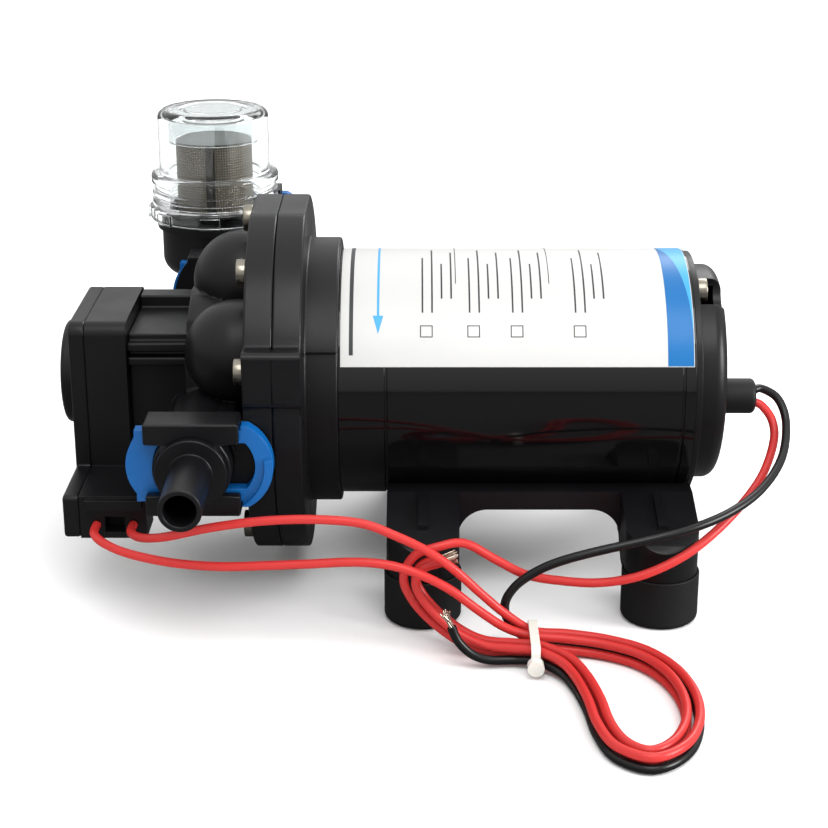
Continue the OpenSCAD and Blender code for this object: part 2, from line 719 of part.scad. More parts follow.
module domes(r, back) for (i = [0 : dome_count - 1]) {
    a = dome_first + i * 360 / dome_count;
    translate([x_face + back, ring_y(a, dome_circle_r), ring_z(a, dome_circle_r)]) rotate([0, -90, 0])
        rotate_extrude($fn = 48) {
            square([r, dome_neck + back]);
            translate([0, dome_neck + back]) intersection() {
                circle(r);
                square(r + over);
            }
        }
}
module pump_head() color([0.1, 0.1, 0.11]) difference() {
    union() {
        difference() {
            union() {
                slab_x(x_face, flange_t) flange_outline();
                rod_x(head_hub_r, x_face - head_hub_l, head_hub_l + over);
                domes(dome_r, over);
            }
            rod_x(valve_r + seat_gap, x_face + front_wall, flange_t);
            domes(dome_r - dome_wall, front_wall + over);
            turned(x_face - dome_neck) translate([head_hub_r - gallery_in, 0])
                square([gallery_w, dome_neck + front_wall + over]);
        }
        box(x_neck_end, x_face - head_hub_l + over, -neck_half, neck_half, axis_h + neck_low,
            axis_h + neck_top);
        box(x_neck_end, x_face - head_hub_l + over, top_rib_y[0], top_rib_y[1],
            axis_h + neck_top - over, axis_h + neck_top + top_rib_h);
        for (z = side_rib_z)
            box(x_neck_end, x_face - head_hub_l + over, -neck_half - side_rib_out, over - neck_half,
                axis_h + z, axis_h + z + side_rib_h);
        for (s = [-1, 1]) {
            z = s > 0 ? inlet_z : outlet_z;
            along_y(s, port_x, z, socket_r, socket_in, socket_out - socket_in);
            rails(z, s, socket_out);
            box(port_x - block_left, port_x + block_right, s > 0 ? block_in : block_short - socket_out,
                s > 0 ? socket_out - block_short : -block_in, z - block_half, z + block_half);
        }
        along_y(-1, port_x, outlet_z, passage_r + passage_wall, outlet_neck_in, bore_in - outlet_neck_in);
    }
    rod_x(plenum_r, x_face - head_hub_l + hub_front_wall, head_hub_l);
    rod_x(sense_r, x_neck_end - over, sense_l);
    for (s = [-1, 1]) {
        z = s > 0 ? inlet_z : outlet_z;
        along_y(s, port_x, z, port_bore_r, bore_in, socket_out);
        rail_slots(z, s, socket_out);
    }
    along_y(-1, port_x, outlet_z, passage_r, 0, bore_in + over);
    along_y(1, port_x, inlet_z, passage_r, bore_in - inlet_passage_l, inlet_passage_l + 2 * over);
    screw_holes(x_face - over, flange_t + 2 * over, screw_d / 2 + 0.1);
}
module head_screws() color([0.78, 0.77, 0.72]) for (i = [0 : screw_count - 1]) {
    a = screw_first + i * 360 / screw_count;
    rod_at(a, screw_circle_r, screw_d / 2, x_face - over, screw_l);
    intersection() {
        rod_at(a, screw_circle_r, screw_head_d / 2, x_face - screw_head_h, screw_head_h);
        translate([x_face + 1.6, ring_y(a, screw_circle_r), ring_z(a, screw_circle_r)])
            sphere(screw_head_d / 2 + 0.6);
    }
}

// A push-in hose tail: spigot with seal and clip grooves, collar and tail
module hose_tail(z, s, mouth) difference() {
    union() {
        along_y(s, port_x, z, spigot_r, mouth - spigot_in, spigot_in + over);
        along_y(s, port_x, z, collar_r, mouth + 0.2, collar_t);
        along_y(s, port_x, z, tail_r, mouth + collar_t - over, hose_tail_l + over);
    }
    spigot_cuts(z, s, mouth);
    along_y(s, port_x, z, tail_bore_r, mouth - spigot_in - over, hose_tail_l + 2 * spigot_in);
}
module spigot_cuts(z, s, mouth) {
    difference() {
        along_y(s, port_x, z, spigot_r + over, mouth - clip_from_mouth - clip_t - 2 * clear,
            clip_t + 4 * clear);
        along_y(s, port_x, z, groove_r, 0, 2 * mouth);
    }
    difference() {
        along_y(s, port_x, z, spigot_r + over, mouth - spigot_in + seal_back, seal_groove_w);
        along_y(s, port_x, z, seal_major_r - seal_minor_r - 0.05, 0, 2 * mouth);
    }
}
module seal_ring(z, s, mouth) color([0.05, 0.05, 0.05])
    translate([port_x, s * (mouth - spigot_in + seal_back + seal_groove_w / 2), z]) rotate([90, 0, 0])
        rotate_extrude() translate([seal_major_r, 0]) circle(seal_minor_r);
module outlet_tail() color([0.1, 0.1, 0.11]) hose_tail(outlet_z, -1, socket_out);
module outlet_seal() seal_ring(outlet_z, -1, socket_out);

// A slide clip: a fork whose arms lie in the spigot's groove, with a rounded finger wing. The left
// wing reaches in to the socket; the right one is scooped and has a raised lip at its edge
module left_wing() {
    edge = -rail_w / 2 - clear;
    intersection() {
        translate([-wing_off_left, 0]) circle(wing_r);
        translate([-rail_w, -wing_half]) square([rail_w + edge, 2 * wing_half]);
    }
    difference() {
        translate([edge - over, clear - rail_in]) square([over - edge, 2 * (rail_in - clear)]);
        circle(socket_r + clear);
    }
}
module right_wing() difference() {
    intersection() {
        translate([wing_off_right, 0]) circle(wing_r);
        translate([rail_w / 2 + clear, -wing_half]) square([rail_w / 2, 2 * wing_half]);
    }
    translate([wing_scoop_x, 0]) circle(wing_scoop_r);
}
module right_lip() difference() {
    intersection() {
        right_wing();
        translate([0, -wing_half]) square([2 * rail_w, wing_half + wing_lip_top]);
    }
    translate([wing_off_right - wing_lip_w, 0]) circle(wing_r);
}
module slide_clip(z, s, mouth, side) color([0.05, 0.42, 0.82]) {
    y = mouth - clip_from_mouth - clip_t;
    translate([port_x, s > 0 ? y + clip_t : -y, z]) rotate([90, 0, 0]) linear_extrude(clip_t) {
        for (up = [-1, 1]) translate([side > 0 ? 0.5 : -rail_w / 2 - 3, up > 0 ? arm_in : -arm_out])
            square([rail_w / 2 + 2.5, arm_out - arm_in]);
        if (side < 0) left_wing(); else right_wing();
    }
    if (side > 0) translate([port_x, s > 0 ? y + clip_t + wing_lip_h : -y, z]) rotate([90, 0, 0])
        linear_extrude(clip_t + wing_lip_h) right_lip();
}
module outlet_clip_left() slide_clip(outlet_z, -1, socket_out, -1);
module outlet_clip_right() slide_clip(outlet_z, -1, socket_out, 1);
module inlet_clip_left() slide_clip(inlet_z, 1, socket_out, -1);
module inlet_clip_right() slide_clip(inlet_z, 1, socket_out, 1);

// Strainer: bowl with a spigot to the pump and a socket for the hose
module strainer_body() color([0.09, 0.09, 0.1]) difference() {
    union() {
        translate([strainer_x, strainer_y, 0]) {
            translate([0, 0, bowl_top]) mirror([0, 0, 1]) rotate_extrude()
                round_end(0, bowl_r, bowl_top - bowl_low, bowl_edge_r);
            translate([0, 0, shoulder_z - shoulder_t]) cylinder(r = shoulder_r, h = shoulder_t);
            translate([0, 0, shoulder_z + 0.8]) cylinder(r = thread_r, h = thread_h);
        }
        along_y(1, port_x, inlet_z, spigot_r, socket_out - spigot_in, spigot_in + 6);
        along_y(1, port_x, inlet_z, collar_r, socket_out + 0.2, strainer_y - socket_out + boss_past);
        along_y(1, port_x, hose_z, socket_r, strainer_y + hose_socket_in,
            hose_mouth - strainer_y - hose_socket_in);
        rails(hose_z, 1, hose_mouth);
    }
    translate([strainer_x, strainer_y, bowl_low + bowl_wall]) cylinder(r = bowl_r - bowl_wall, h = cap_top);
    spigot_cuts(inlet_z, 1, socket_out);
    along_y(1, port_x, inlet_z, passage_r, socket_out - spigot_in - over,
        strainer_y - socket_out + spigot_in + over);
    along_y(1, port_x, hose_z, passage_r, strainer_y, hose_mouth - strainer_y);
    along_y(1, port_x, hose_z, port_bore_r, hose_mouth - spigot_in - 0.5, spigot_in + 2 * over);
    rail_slots(hose_z, 1, hose_mouth);
}
module inlet_seal() seal_ring(inlet_z, 1, socket_out);
module strainer_screen() color([0.6, 0.58, 0.54]) translate([strainer_x, strainer_y, bowl_low + bowl_wall]) {
    h = cap_top - cap_wall - screen_below - bowl_low - bowl_wall;
    difference() {
        cylinder(r = screen_r, h = h);
        translate([0, 0, -over]) cylinder(r = screen_r - screen_t, h = h - screen_end_t + over);
    }
    translate([-screen_seam_w / 2, -screen_r - screen_t, 0]) cube([screen_seam_w, 2 * screen_t, h]);
}
module strainer_seal() color([0.05, 0.05, 0.05])
    translate([strainer_x, strainer_y, cap_low + thread_depth - strainer_seal_r - 0.05]) rotate_extrude()
        translate([bowl_r - strainer_seal_r - 0.2, 0]) circle(strainer_seal_r);
module strainer_cap() color([0.9, 0.93, 0.94, 0.35]) translate([strainer_x, strainer_y, cap_low]) difference() {
    union() {
        rotate_extrude() round_end(0, collar_out_r, collar_foot_h, collar_foot_edge);
        cylinder(r = collar_out_r - collar_neck, h = collar_h - collar_rim_edge - 0.5);
        for (i = [0, 1]) translate([0, 0, collar_foot_h + (i + 0.4) * ridge_step])
            cylinder(r = collar_out_r - collar_neck + ridge_out, h = ridge_h);
        translate([0, 0, collar_h - collar_rim_h]) rotate_extrude()
            round_end(0, collar_out_r - collar_rim_in, collar_rim_h, collar_rim_edge);
        translate([0, 0, collar_h - 2]) rotate_extrude() round_end(0, cap_r, cap_h + 2, cap_edge_r);
        for (i = [0 : lug_count - 1]) rotate(i * 360 / lug_count)
            translate([0, -lug_w / 2, 0]) cube([collar_out_r + lug_out, lug_w, lug_h]);
    }
    translate([0, 0, -over]) cylinder(r = collar_in_r, h = thread_depth + over);
    difference() {
        cylinder(r = cap_r - cap_wall, h = collar_h + cap_h - cap_wall);
        translate([0, 0, collar_h + cap_h - cap_wall - screen_below - ring_hold]) difference() {
            cylinder(r = screen_r + screen_t + clear + ring_wall, h = screen_below + ring_hold + over);
            translate([0, 0, -over]) cylinder(r = screen_r + screen_t + clear,
                h = screen_below + ring_hold + 3 * over);
        }
    }
    translate([0, 0, collar_h + cap_h - mark_depth]) difference() {
        cylinder(r = mark_out_r, h = mark_depth + over);
        translate([0, 0, -over]) cylinder(r = mark_out_r - mark_w, h = mark_depth + 3 * over);
    }
}
module strainer_tail() color([0.1, 0.1, 0.11]) hose_tail(hose_z, 1, hose_mouth);
module tail_seal() seal_ring(hose_z, 1, hose_mouth);
module strainer_clip_left() slide_clip(hose_z, 1, hose_mouth, -1);
module strainer_clip_right() slide_clip(hose_z, 1, hose_mouth, 1);

// Pressure switch: a case over the head's neck with a terminal ledge, closed by a cover
module switch_outline() {
    round_rect(case_front, case_low, case_back, case_top, case_edge_r);
    round_rect(ledge_front, case_low, case_back, ledge_top, 1.5);
}
module switch_case() color([0.11, 0.11, 0.12]) difference() {
    union() {
        slab_x(x_case, switch_case_t) switch_outline();
        box(x_case, terminal_high[0] + ledge_block_past, ledge_front, ledge_front + ledge_block_l,
            case_low, ledge_top);
        box(terminal_low[0] - hood_past, terminal_high[0] + hood_past, ledge_front - hood_y, ledge_front + over,
            hood_z, hood_z + hood_h);
    }
    box(x_case - over, x_neck_end - case_wall, case_front + case_wall, case_back - case_wall,
        case_low + case_wall + case_floor, case_top - case_wall);
    rod_x(plunger_r + run_gap, x_case, switch_case_t + over);
    for (t = [terminal_low, terminal_high])
        translate([t[0], ledge_front - over, t[2]]) rotate([-90, 0, 0])
            cylinder(r = lead_r + seat_gap, h = terminal_depth + over);
    slot_x = (terminal_low[0] + terminal_high[0]) / 2;
    box(slot_x - slot_half, slot_x + slot_half, ledge_front - over, ledge_front + slot_in, slot_z,
        slot_z + slot_h);
}
module switch_cover() color([0.11, 0.11, 0.12]) difference() {
    union() {
        slab_x(x_cover, switch_cover_t) switch_outline();
        translate([x_cover, 0, axis_h]) rotate([0, -90, 0]) rotate_extrude()
            round_end(0, switch_round_r, switch_round_t, 1.5);
    }
    rod_x(adjuster_r + run_gap, x_round - over, switch_round_t + switch_cover_t + 2 * over);
}
module switch_plunger() color([0.85, 0.84, 0.8]) rod_x(plunger_r, x_neck_end - plunger_l, plunger_l - clear);
x_seat = x_case + 1;
module adjusting_screw() color([0.75, 0.62, 0.3]) difference() {
    union() {
        rod_x(adjuster_r, x_round - 0.5, x_seat - x_round + 0.5);
        rod_x(spring_r + 0.3, x_case + clear, x_seat - x_case - clear);
    }
    box(x_round - over, x_round + over, -screw_slot_w / 2, screw_slot_w / 2, axis_h - adjuster_r,
        axis_h + adjuster_r);
}
module switch_spring() color([0.75, 0.75, 0.77]) difference() {
    rod_x(spring_r, x_seat + clear, x_neck_end - plunger_l - x_seat - clear);
    rod_x(spring_r - spring_wall, x_seat - over, 20);
}
module microswitch() color([0.08, 0.08, 0.09])
    box(x_case + over, x_neck_end - case_wall, case_front + case_wall, case_front + case_wall + snap_w,
        case_low + case_wall + case_floor, case_low + case_wall + case_floor + snap_h);

// Leads: a tube swept along a smooth curve through the route
function unit(v) = v / norm(v);
function spline(a, b, c, d, t) = 0.5 * (2 * b + (c - a) * t + (2 * a - 5 * b + 4 * c - d) * t * t
    + (3 * b - a - 3 * c + d) * t * t * t);
function smooth(p, steps) = [for (i = [0 : len(p) - 2], s = [0 : steps - 1])
    spline(p[max(i - 1, 0)], p[i], p[i + 1], p[min(i + 2, len(p) - 1)], s / steps), p[len(p) - 1]];
function heading(p, i) = unit(p[min(i + 1, len(p) - 1)] - p[max(i - 1, 0)]);
function carry(p, i, side) = i == len(p) - 1 ? [side] :
    let (next = heading(p, i + 1)) concat([side], carry(p, i + 1, unit(side - (side * next) * next)));
module sweep(p, r, sides) {
    first = heading(p, 0);
    start = unit(cross(first, abs(first[2]) < 0.9 ? [0, 0, 1] : [0, 1, 0]));
    frame = carry(p, 0, start);
    rings = [for (i = [0 : len(p) - 1], k = [0 : sides - 1])
        p[i] + r * (cos(k * 360 / sides) * frame[i] + sin(k * 360 / sides) * cross(heading(p, i), frame[i]))];
    last = (len(p) - 1) * sides;
    walls = [for (i = [0 : len(p) - 2], k = [0 : sides - 1])
        let (a = i * sides + k, b = i * sides + (k + 1) % sides)
            each [[a, b, a + sides], [b, b + sides, a + sides]]];
    caps = [for (k = [1 : sides - 2]) each [[0, k + 1, k], [last, last + k, last + k + 1]]];
    polyhedron(points = rings, faces = [for (f = concat(walls, caps)) [f[2], f[1], f[0]]], convexity = 6);
}
// One lane of the hank: beside its middle line and above it
function hank_side(i) = i >= raised_from ? [0, -1, 0] :
    let (h = heading(hank_line, i)) unit([-h[1], h[0], 0]);
function hank_lane(across, above, first, last) = [for (i = [first : last])
    let (side = hank_side(i), up = unit(cross(heading(hank_line, i), side)))
    hank_line[i] + lane * (across * side + above * up)];
hank_last = len(hank_line) - 1;
function backwards(p) = [for (i = [len(p) - 1 : -1 : 0]) p[i]];
low_path = smooth(concat([terminal_low], low_route, hank_lane(-1, 1, 0, hank_last)), 2);
high_path = smooth(concat([terminal_high], high_route, hank_lane(1, 1, 0, hank_last)), 2);
red_path = smooth(concat([terminal_red], red_route, backwards(hank_lane(-1, -1, 0, hank_last)), red_end), 2);
black_path = smooth(concat([terminal_black], black_route, hank_lane(1, -1, 0, raised_from - 2), black_end), 2);

// Least free distance between leads, and between stretches of one lead that are not neighbours
function near(a, b, c) = let (ab = b - a, t = min(max(((c - a) * ab) / (ab * ab), 0), 1)) norm(a + t * ab - c);
function gap_between(p, q) = min([for (i = [0 : len(p) - 2], c = q) near(p[i], p[i + 1], c)]) - lead_d;
function gap_within(p) = min([for (i = [0 : len(p) - 2], j = [i + 6 : 1 : len(p) - 1])
    near(p[i], p[i + 1], p[j])]) - lead_d;
function total(v) = v * [for (x = v) 1];
function path_length(p) = total([for (i = [1 : len(p) - 1]) norm(p[i] - p[i - 1])]);
paths = [low_path, high_path, red_path, black_path];
echo(lead_gaps = [for (i = [0 : 2], j = [i + 1 : 3]) gap_between(paths[i], paths[j])],
    own_gaps = [for (p = paths) gap_within(p)], lengths = [for (p = paths) path_length(p)]);

// A lead: insulated tube and a bare end beyond it
module lead(path, colour) {
    n = len(path) - 1;
    tip = unit(path[n] - path[n - 1]);
    color(colour) sweep(path, lead_r, 8);
    color([0.8, 0.72, 0.6]) sweep([path[n] - tip * over / 2, path[n] + tip * bare_l], bare_r, 8);
}
module switch_wire_low() lead(low_path, [0.85, 0.15, 0.12]);
module switch_wire_high() lead(high_path, [0.85, 0.15, 0.12]);
module motor_wire_red() lead(red_path, [0.85, 0.15, 0.12]);
module motor_wire_black() lead(black_path, [0.06, 0.06, 0.06]);
// Tie: a flat band round both bundles, cut short at its round lock
tie_x = -4;
tie_w = 2.6;
tie_t = 1;
tie_front = -89.6;
tie_back = -71.6;
tie_low = 1.2;
tie_high = 8.4;
tie_lock_r = 2.4;
tie_lock_l = 3;
module cable_tie() color([0.92, 0.92, 0.9]) {
    slab_x(tie_x - tie_w / 2, tie_w) difference() {
        round_rect(tie_front - tie_t, tie_low - tie_t, tie_back + tie_t, tie_high + tie_t, 2.5);
        round_rect(tie_front, tie_low, tie_back, tie_high, 1.5);
    }
    rod_y(tie_x, tie_low + tie_lock_r, tie_lock_r, tie_front - tie_lock_l, tie_lock_l);
}

base_bracket();
foot_front_left();
foot_front_right();
foot_rear_left();
foot_rear_right();
motor_can();
label();
end_bell();
rear_cap();
motor_bolts();
cable_gland();
front_bearing();
rear_bearing();
motor_shaft();
armature();
windings();
commutator();
brush_holder();
brushes();
magnets();
drive_housing();
eccentric();
wobble_bearing();
wobble_plate();
diaphragm();
pistons();
valve_plate();
inlet_valves();
outlet_valve();
pump_head();
head_screws();
outlet_tail();
outlet_seal();
outlet_clip_left();
outlet_clip_right();
inlet_seal();
inlet_clip_left();
inlet_clip_right();
strainer_body();
strainer_screen();
strainer_seal();
strainer_cap();
strainer_tail();
tail_seal();
strainer_clip_left();
strainer_clip_right();
switch_case();
switch_cover();
switch_plunger();
switch_spring();
adjusting_screw();
microswitch();
switch_wire_low();
switch_wire_high();
motor_wire_red();
motor_wire_black();
cable_tie();
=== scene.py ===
"""Caravan water pump: a motor, a domed diaphragm head, a strainer, a pressure switch and loose leads.

Sizes are in millimetres, and MM turns them into the frame's metres."""

import json
import math
import random

import bpy
from mathutils import Matrix, Vector


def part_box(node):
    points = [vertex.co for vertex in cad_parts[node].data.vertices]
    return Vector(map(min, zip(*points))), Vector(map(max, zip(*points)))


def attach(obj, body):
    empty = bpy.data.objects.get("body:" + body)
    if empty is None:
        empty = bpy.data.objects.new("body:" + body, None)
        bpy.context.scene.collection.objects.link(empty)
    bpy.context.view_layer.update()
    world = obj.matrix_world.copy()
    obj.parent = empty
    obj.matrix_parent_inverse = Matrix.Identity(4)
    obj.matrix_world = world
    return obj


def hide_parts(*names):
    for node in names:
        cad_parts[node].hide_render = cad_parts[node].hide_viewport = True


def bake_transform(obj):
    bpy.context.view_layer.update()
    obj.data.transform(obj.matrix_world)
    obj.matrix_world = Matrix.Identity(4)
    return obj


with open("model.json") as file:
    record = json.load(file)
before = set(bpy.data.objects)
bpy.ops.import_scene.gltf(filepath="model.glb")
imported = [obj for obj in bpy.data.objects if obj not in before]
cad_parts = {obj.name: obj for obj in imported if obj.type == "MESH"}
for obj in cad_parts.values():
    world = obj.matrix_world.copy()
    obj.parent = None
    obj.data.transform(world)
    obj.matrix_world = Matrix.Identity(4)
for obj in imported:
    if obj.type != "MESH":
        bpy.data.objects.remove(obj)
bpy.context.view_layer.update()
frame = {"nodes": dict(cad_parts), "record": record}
cad = frame["nodes"]
MM = 0.001

# Camera: a long lens that looks along the pump's side from a little above, as the photograph does.
# The picture is square, and the view is centred between the switch and the motor's tail.
PICTURE = 828
FOCAL_PIXELS = 1860
ELEVATION = math.radians(20)
DISTANCE = 600 * MM
AIM = Vector((-38.7, 0, 47.1)) * MM
lens = bpy.data.cameras.new("camera")
lens.sensor_width = 36
lens.lens = FOCAL_PIXELS / PICTURE * lens.sensor_width
camera = bpy.data.objects.new("camera", lens)
camera.location = AIM + DISTANCE * Vector((0, -math.cos(ELEVATION), math.sin(ELEVATION)))
camera.rotation_euler = (math.pi / 2 - ELEVATION, 0, 0)
bpy.context.collection.objects.link(camera)
bpy.context.scene.camera = camera
bpy.context.scene.view_settings.view_transform = "Standard"


# Cable tie: a strap of natural nylon pulled round the folded leads and cut off at its round lock.
# It is injection moulded, so its edges are slightly round and light goes a little way into it.
def linear(hex_colour):
    """An sRGB hex colour as the linear values that a shader takes."""
    parts = [int(hex_colour[i : i + 2], 16) / 255 for i in (1, 3, 5)]
    return [p / 12.92 if p <= 0.04045 else ((p + 0.055) / 1.055) ** 2.4 for p in parts] + [1]


def node(tree, kind, settings=None, links=None):
    """Adds one shader node, with its settings and with links from other nodes' sockets."""
    made = tree.nodes.new(kind)
    for name, value in (settings or {}).items():
        if isinstance(name, str) and hasattr(made, name):
            setattr(made, name, value)
        else:
            made.inputs[name].default_value = value
    for name, source in (links or {}).items():
        tree.links.new(source, made.inputs[name])
    return made


def bare_tree(name):
    """A new material with an empty node tree, and the place of a point on its piece."""
    made = bpy.data.materials.new(name)
    made.use_nodes = True
    made.node_tree.nodes.clear()
    return made, made.node_tree, node(made.node_tree, "ShaderNodeTexCoord").outputs["Object"]


PATCH = 22
GLOSS_DRIFT = 0.2
GRAIN_STRENGTH = 0.35


def surface_of(name, colour, worn, roughness, grain, depth, **shader):
    """A surface whose colour and gloss drift over patches, with a grain of that width and depth in mm."""
    made, tree, place = bare_tree(name)
    patches = node(tree, "ShaderNodeTexNoise", {"Scale": 1 / (PATCH * MM), "Detail": 3}, {"Vector": place})
    grit = node(tree, "ShaderNodeTexNoise", {"Scale": 1 / (grain * MM), "Detail": 2}, {"Vector": place})
    drift = patches.outputs["Fac"]
    colours = {"data_type": "RGBA", 6: linear(colour), 7: linear(worn)}
    tint = node(tree, "ShaderNodeMix", colours, {0: drift})
    spread = {"From Min": 0.3, "From Max": 0.7}
    spread["To Min"] = roughness * (1 - GLOSS_DRIFT)
    spread["To Max"] = roughness * (1 + GLOSS_DRIFT)
    polish = node(tree, "ShaderNodeMapRange", spread, {"Value": drift})
    relief = {"Strength": GRAIN_STRENGTH, "Distance": depth * MM}
    bump = node(tree, "ShaderNodeBump", relief, {"Height": grit.outputs["Fac"]})
    links = {"Base Color": tint.outputs[2], "Roughness": polish.outputs["Result"]}
    links["Normal"] = bump.outputs["Normal"]
    surface = node(tree, "ShaderNodeBsdfPrincipled", shader, links)
    node(tree, "ShaderNodeOutputMaterial", {}, {"Surface": surface.outputs["BSDF"]})
    return made


def carried(made, name):
    """The piece rides with the body that holds the CAD node of that name, and that node is hidden."""
    record = frame["record"]
    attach(made, next(body for body, held in record["behaviour"]["bodies"].items() if name in held))
    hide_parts(name)


def mark_edges(mesh, angle, least):
    """Marks the edges to round: sharp ones between two faces that are both of that area or more, in mm2."""
    beside = {}
    for face in mesh.polygons:
        for key in face.edge_keys:
            beside.setdefault(key, []).append(face)
    weight = mesh.attributes.new("bevel_weight_edge", "FLOAT", "EDGE")
    for edge in mesh.edges:
        faces = beside.get(edge.key, [])
        if len(faces) == 2 and min(face.area for face in faces) > least * MM**2:
            weight.data[edge.index].value = faces[0].normal.angle(faces[1].normal, 0) > angle


WELD = 0.002
FLAT = math.radians(0.6)
CORNER = math.radians(35)
CREASE = math.radians(40)


def softened(name, material, rounding, segments=2, least=None):
    """A copy of a CAD node with its edges rounded in mm as a mould leaves them. It stands for the node.

    With a least face area, small facets such as a dome's keep their plain joins."""
    bpy.ops.object.select_all(action="DESELECT")
    made = bpy.data.objects.new(name + "_finished", cad[name].data.copy())
    bpy.context.collection.objects.link(made)
    bpy.context.view_layer.objects.active = made
    made.select_set(True)
    bpy.ops.object.mode_set(mode="EDIT")
    bpy.ops.mesh.select_all(action="SELECT")
    bpy.ops.mesh.remove_doubles(threshold=WELD * MM)
    bpy.ops.mesh.dissolve_limited(angle_limit=FLAT)
    bpy.ops.object.mode_set(mode="OBJECT")
    edge = made.modifiers.new("edge", "BEVEL")
    edge.width = rounding * MM
    edge.segments = segments
    edge.limit_method = "ANGLE"
    edge.angle_limit = CORNER
    if least:
        mark_edges(made.data, CORNER, least)
        edge.limit_method = "WEIGHT"
        edge.use_clamp_overlap = False
    bpy.ops.object.modifier_apply(modifier="edge")
    bpy.ops.object.shade_smooth_by_angle(angle=CREASE)
    flat = made.modifiers.new("flat", "WEIGHTED_NORMAL")
    flat.keep_sharp = True
    bpy.ops.object.modifier_apply(modifier="flat")
    made.data.materials.clear()
    made.data.materials.append(material)
    carried(made, name)
    return made


soft_nylon = {"Subsurface Weight": 0.3, "Subsurface Scale": 2 * MM}
natural_nylon = surface_of(
    "natural_nylon", "#dcdad4", "#d2d0c8", roughness=0.4, grain=0.8, depth=0.01, **soft_nylon
)
tie = softened("cable_tie", natural_nylon, rounding=0.25)

# Leads: four flexible wires in soft PVC, two from the switch and two from the motor's gland. Their spare
# length is folded into one hank: past the tie, round a loop on the floor, back, and up a raised loop.
LEAD_D = 2.7
LANE = 1.76
HANK = [
    (-4, -75.5, 4.7), (6, -76, 4), (17, -78.5, 3.5), (27, -85, 3.5), (34, -96, 3.5), (37, -110, 3.5),
    (36, -124, 3.5), (31, -136, 3.5), (23, -142, 3.5), (15.5, -137, 3.5), (12, -126, 3.5),
    (10.5, -112, 3.5), (8, -99, 3.5), (4, -90.5, 4.2), (-3, -84.8, 4.7), (-10, -82.3, 4.2),
    (-18, -80, 3.8), (-25, -77, 5.5), (-32, -73.5, 9.5), (-37.5, -71.2, 15), (-40, -70.4, 21),
    (-37.5, -70, 26.5), (-31.5, -70, 29),
]
RAISED_FROM = 16
LOW_ROUTE = [
    (-134, -50, 30), (-134, -55, 29), (-130, -60, 28), (-122, -65, 27), (-109, -69, 26), (-95, -71.5, 26),
    (-81, -73, 27), (-68, -74, 28), (-56, -75, 29), (-46, -76, 28.5), (-37, -77, 26), (-28, -77, 21),
    (-20, -76.8, 14.5), (-12, -76.6, 8.8),
]
HIGH_ROUTE = [
    (-123, -50, 30), (-123, -55, 29.5), (-119, -60, 30), (-111, -66, 33), (-98, -70, 37.5),
    (-83, -72, 40.5), (-68, -73, 41.5), (-54, -73.5, 40.5), (-44, -74.5, 37), (-35, -75, 32.5),
    (-27, -75, 26.5), (-19, -74.5, 18.5), (-12, -73.6, 11.8),
]
RED_ROUTE = [
    (67.5, -16, 57), (70, -17, 56), (73, -19, 52), (73, -24, 47), (68, -36, 41), (60, -48, 36),
    (50, -58, 30.5), (40, -64, 25.5), (28, -66, 20.5), (16, -65.5, 18), (4, -65, 18.5), (-6, -65, 20.5),
    (-15, -65.2, 25.5), (-24, -66.2, 31),
]
BLACK_ROUTE = [
    (67.5, -16, 61), (70, -15, 61), (75, -16, 58), (77, -21, 52), (74, -33, 45), (66, -46, 40),
    (55, -57, 37), (42, -65, 35), (28, -69, 33), (14, -70, 30), (4, -70, 27), (-3, -69.5, 23.5),
    (-9, -69, 18.5), (-12, -69.5, 13), (-10.5, -70.6, 7.4),
]
RED_END = [(-12, -76.6, 3.5)]
BLACK_END = [(-10, -84.2, 2.3), (-17, -84.8, 2.6), (-22, -85.2, 4.6), (-26, -85, 8.6), (-28, -84.4, 13)]
CURVE_STEPS = 6


def heading(points, i):
    """The way a route runs at one of its points."""
    return (points[min(i + 1, len(points) - 1)] - points[max(i - 1, 0)]).normalized()


def hank_lane(across, above, last):
    """One lead's way through the hank: beside its middle line and above it."""
    middle = [Vector(p) for p in HANK]
    run = []
    for i in range(last + 1):
        ahead = heading(middle, i)
        side = Vector((0, -1, 0)) if i >= RAISED_FROM else Vector((-ahead.y, ahead.x, 0)).normalized()
        run.append(middle[i] + LANE * (across * side + above * ahead.cross(side).normalized()))
    return run


def smooth(points):
    """One smooth curve through the points."""
    points = [Vector(p) for p in points]
    last = len(points) - 1
    curve = []
    for i in range(last):
        a, b, c, d = (points[max(0, min(last, i + k))] for k in (-1, 0, 1, 2))
        for step in range(CURVE_STEPS):
            t = step / CURVE_STEPS
            bend = 2 * a - 5 * b + 4 * c - d
            twist = 3 * b - a - 3 * c + d
            curve.append(0.5 * (2 * b + (c - a) * t + bend * t**2 + twist * t**3))
    return curve + [points[last]]


# Soft PVC insulation is smooth and slightly waxy, with a faint unevenness from the extruder.
waxy = {"Specular IOR Level": 0.3}
red_pvc = surface_of("soft_red_pvc", "#c0302e", "#b42a28", roughness=0.34, grain=1.2, depth=0.02, **waxy)
black_pvc = surface_of(
    "soft_black_pvc", "#0c0c0d", "#131314", roughness=0.3, grain=1.2, depth=0.02, **waxy
)
# Tinned copper strands are a bright, slightly yellow metal.
tinned_copper = surface_of(
    "tinned_copper", "#d6cdbf", "#c3b7a3", roughness=0.28, grain=0.5, depth=0.01, Metallic=1
)


def tube(name, lines, radius, material):
    """Open lines with a round section, as one curve object."""
    wire = bpy.data.curves.new(name, "CURVE")
    wire.dimensions = "3D"
    wire.bevel_depth = radius * MM
    wire.bevel_resolution = 4
    wire.use_fill_caps = True
    for line in lines:
        spline = wire.splines.new("POLY")
        spline.points.add(len(line) - 1)
        for point, place in zip(spline.points, line):
            point.co = (*(place * MM), 1)
    wire.materials.append(material)
    made = bpy.data.objects.new(name, wire)
    bpy.context.collection.objects.link(made)
    return made


